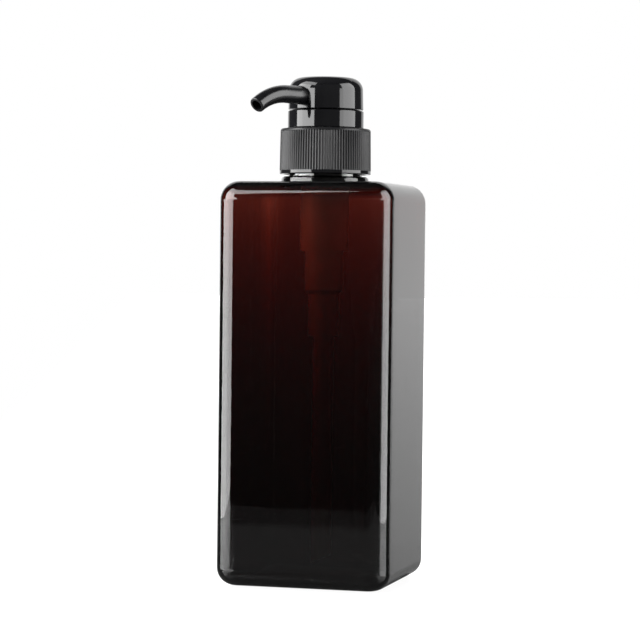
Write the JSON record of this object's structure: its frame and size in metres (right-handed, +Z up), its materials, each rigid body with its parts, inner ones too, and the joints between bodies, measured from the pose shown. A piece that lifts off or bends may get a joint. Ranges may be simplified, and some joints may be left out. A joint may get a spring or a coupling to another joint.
{
  "type": "pump oil bottle",
  "caption": "Square amber plastic bottle with a screw-on pump: ribbed closure, lock ring, domed head with a bent nozzle that turns and rises, and a dip tube inside.",
  "frame": {"origin": "middle of the flat base", "axes": "+Z up along the bottle, the front face of the bottle to -Y"},
  "size_m": [0.07, 0.0729, 0.2006],
  "materials": {
    "amber_plastic": "clear dark amber, glossy",
    "closure_black": "satin",
    "gloss_black": "polished",
    "natural_plastic": "satin",
    "tube_plastic": "translucent satin",
    "seal_foam": "matte",
    "ball_glass": "polished",
    "spring_steel": "bright drawn wire"
  },
  "bodies": {
    "bottle_body": {"bottle": "amber_plastic"},
    "pump_body": {"housing": "natural_plastic", "lock_ring": "gloss_black", "gasket": "seal_foam", "dip_tube": "tube_plastic", "ball_cage": "natural_plastic", "spring": "spring_steel"},
    "closure_body": {"closure": "closure_black"},
    "inlet_ball_body": {"inlet_ball": "ball_glass"},
    "piston_body": {"piston": "tube_plastic"},
    "head_body": {"actuator": "gloss_black", "stem": "natural_plastic", "stem_plug": "natural_plastic"},
    "outlet_ball_body": {"outlet_ball": "ball_glass"}
  },
  "joints": [
    {"name": "pump_rise", "type": "slide", "parent": "bottle_body", "child": "pump_body", "axis": [0, 0, 1], "range_m": [0, 0.00635]},
    {"name": "closure_turn", "type": "hinge", "parent": "pump_body", "child": "closure_body", "pos_m": [0, 0, 0.17], "axis": [0, 0, 1], "range_deg": [0, 540.1]},
    {"name": "head_rise", "type": "slide", "parent": "pump_body", "child": "piston_body", "axis": [0, 0, 1], "range_m": [0, 0.018], "deforming": ["spring"]},
    {"name": "head_turn", "type": "hinge", "parent": "piston_body", "child": "head_body", "pos_m": [0, 0, 0.19], "axis": [0, 0, 1], "continuous": true},
    {"name": "inlet_ball_lift", "type": "slide", "parent": "pump_body", "child": "inlet_ball_body", "axis": [0, 0, 1], "range_m": [0, 0.0016]},
    {"name": "outlet_ball_lift", "type": "slide", "parent": "head_body", "child": "outlet_ball_body", "axis": [0, 0, 1], "range_m": [0, 0.0024]}
  ],
  "couplings": [
    {"joint": "closure_turn", "follows": "pump_rise", "rad_per_m": 1484.2}
  ]
}
